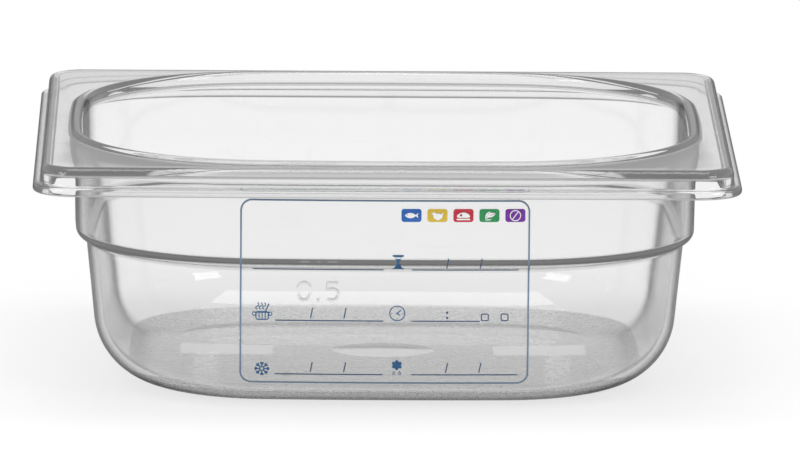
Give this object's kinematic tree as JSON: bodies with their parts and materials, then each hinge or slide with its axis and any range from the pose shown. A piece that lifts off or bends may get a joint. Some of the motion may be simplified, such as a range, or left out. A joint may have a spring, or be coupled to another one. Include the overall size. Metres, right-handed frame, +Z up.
{
  "type": "deli food pan",
  "caption": "Shallow clear plastic food pan with a wide rectangular rim, an oval-cornered bowl with a stacking ledge, and a blank date label printed on its front.",
  "frame": {"origin": "middle of the base, on the surface the pan stands on", "axes": "+Z up, +X along the rim's length, -Y out of the front wall that carries the printed label"},
  "size_m": [0.176, 0.162, 0.0641],
  "materials": {
    "clear_plastic": "clear moulded copolyester, polished, with a fine stipple under the base",
    "frame_ink": "thin blue-grey screen ink",
    "line_ink": "thin slate-blue screen ink",
    "icon_ink": "thin blue screen ink",
    "fish_blue_ink": "thin blue screen ink",
    "poultry_yellow_ink": "thin yellow screen ink",
    "meat_red_ink": "thin red screen ink",
    "leaf_green_ink": "thin green screen ink",
    "allergen_purple_ink": "thin purple screen ink",
    "white_ink": "thin white screen ink"
  },
  "bodies": {
    "root": {"pan": "clear_plastic", "label_frame": "frame_ink", "rule_lines": "line_ink", "date_slashes": "line_ink", "time_colon": "line_ink", "check_boxes": "line_ink", "hourglass_icon": "icon_ink", "pot_icon": "icon_ink", "clock_icon": "icon_ink", "snowflake_icon": "icon_ink", "thaw_icon": "icon_ink", "fish_tab": "fish_blue_ink", "poultry_tab": "poultry_yellow_ink", "meat_tab": "meat_red_ink", "leaf_tab": "leaf_green_ink", "allergen_tab": "allergen_purple_ink", "tab_pictograms": "white_ink"}
  },
  "joints": []
}
